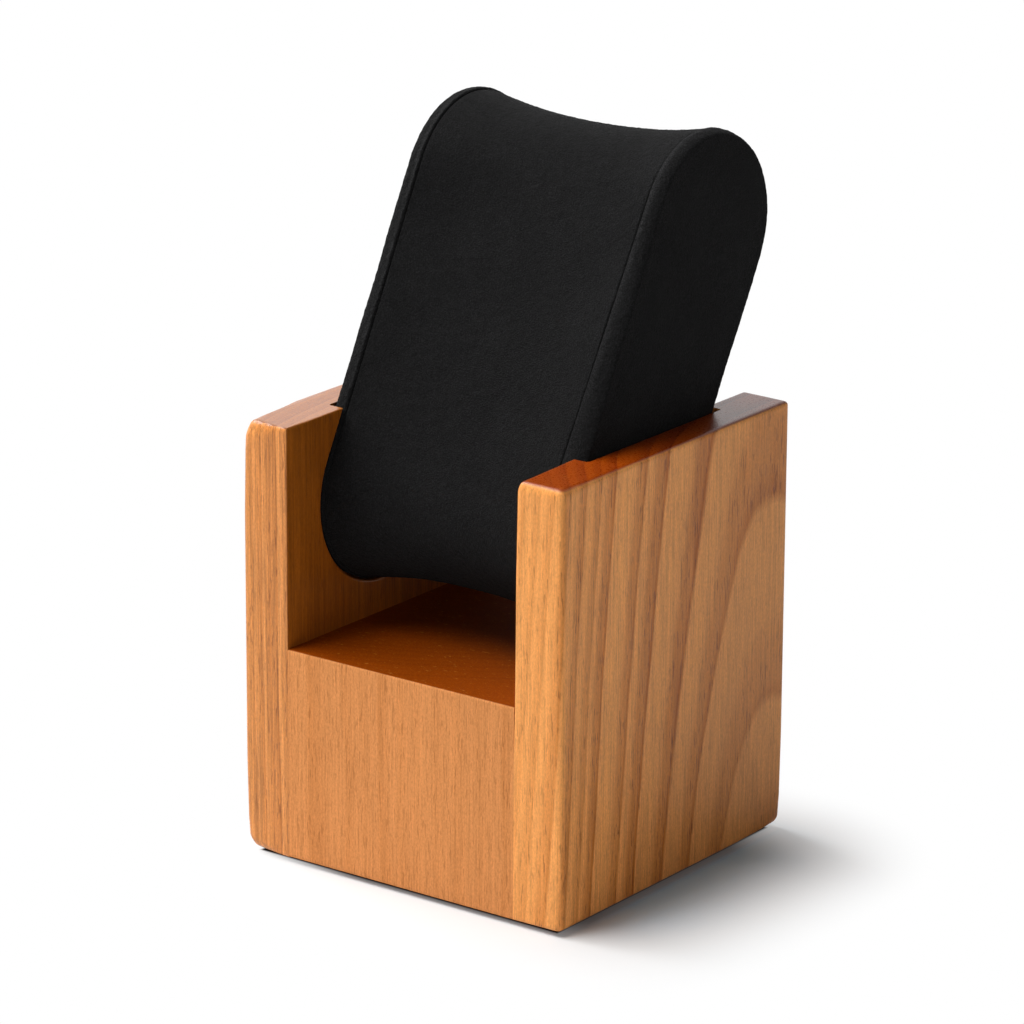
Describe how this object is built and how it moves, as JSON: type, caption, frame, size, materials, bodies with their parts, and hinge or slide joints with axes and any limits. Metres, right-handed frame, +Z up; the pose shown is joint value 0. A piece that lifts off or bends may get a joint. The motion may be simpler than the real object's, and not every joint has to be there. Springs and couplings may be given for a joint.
{
  "type": "watch stand",
  "caption": "Notched hardwood cradle that carries a leaning, suede covered cushion, round which a watch is strapped for display.",
  "frame": {"origin": "middle of the underside of the felt base pad, midway between the cheeks and midway between the front and back faces of the wooden cradle", "axes": "+X to the right across the cheeks, +Y to the back (the way the cushion leans), +Z up"},
  "size_m": [0.0578, 0.0591, 0.1095],
  "materials": {
    "cheek_wood": "satin lacquered hardwood, grain upright",
    "block_wood": "satin lacquered hardwood, finer grain",
    "felt": "thin black felt",
    "suede": "black brushed suede cloth with a short nap",
    "end_board": "plain fibreboard",
    "foam": "open cell foam"
  },
  "bodies": {
    "root": {"left_cheek": "cheek_wood", "right_cheek": "cheek_wood", "centre_block": "block_wood", "base_pad": "felt", "left_end_board": "end_board", "right_end_board": "end_board", "left_end_cover": "suede", "right_end_cover": "suede", "cushion_core": "foam", "cushion_band": "suede"}
  },
  "joints": []
}
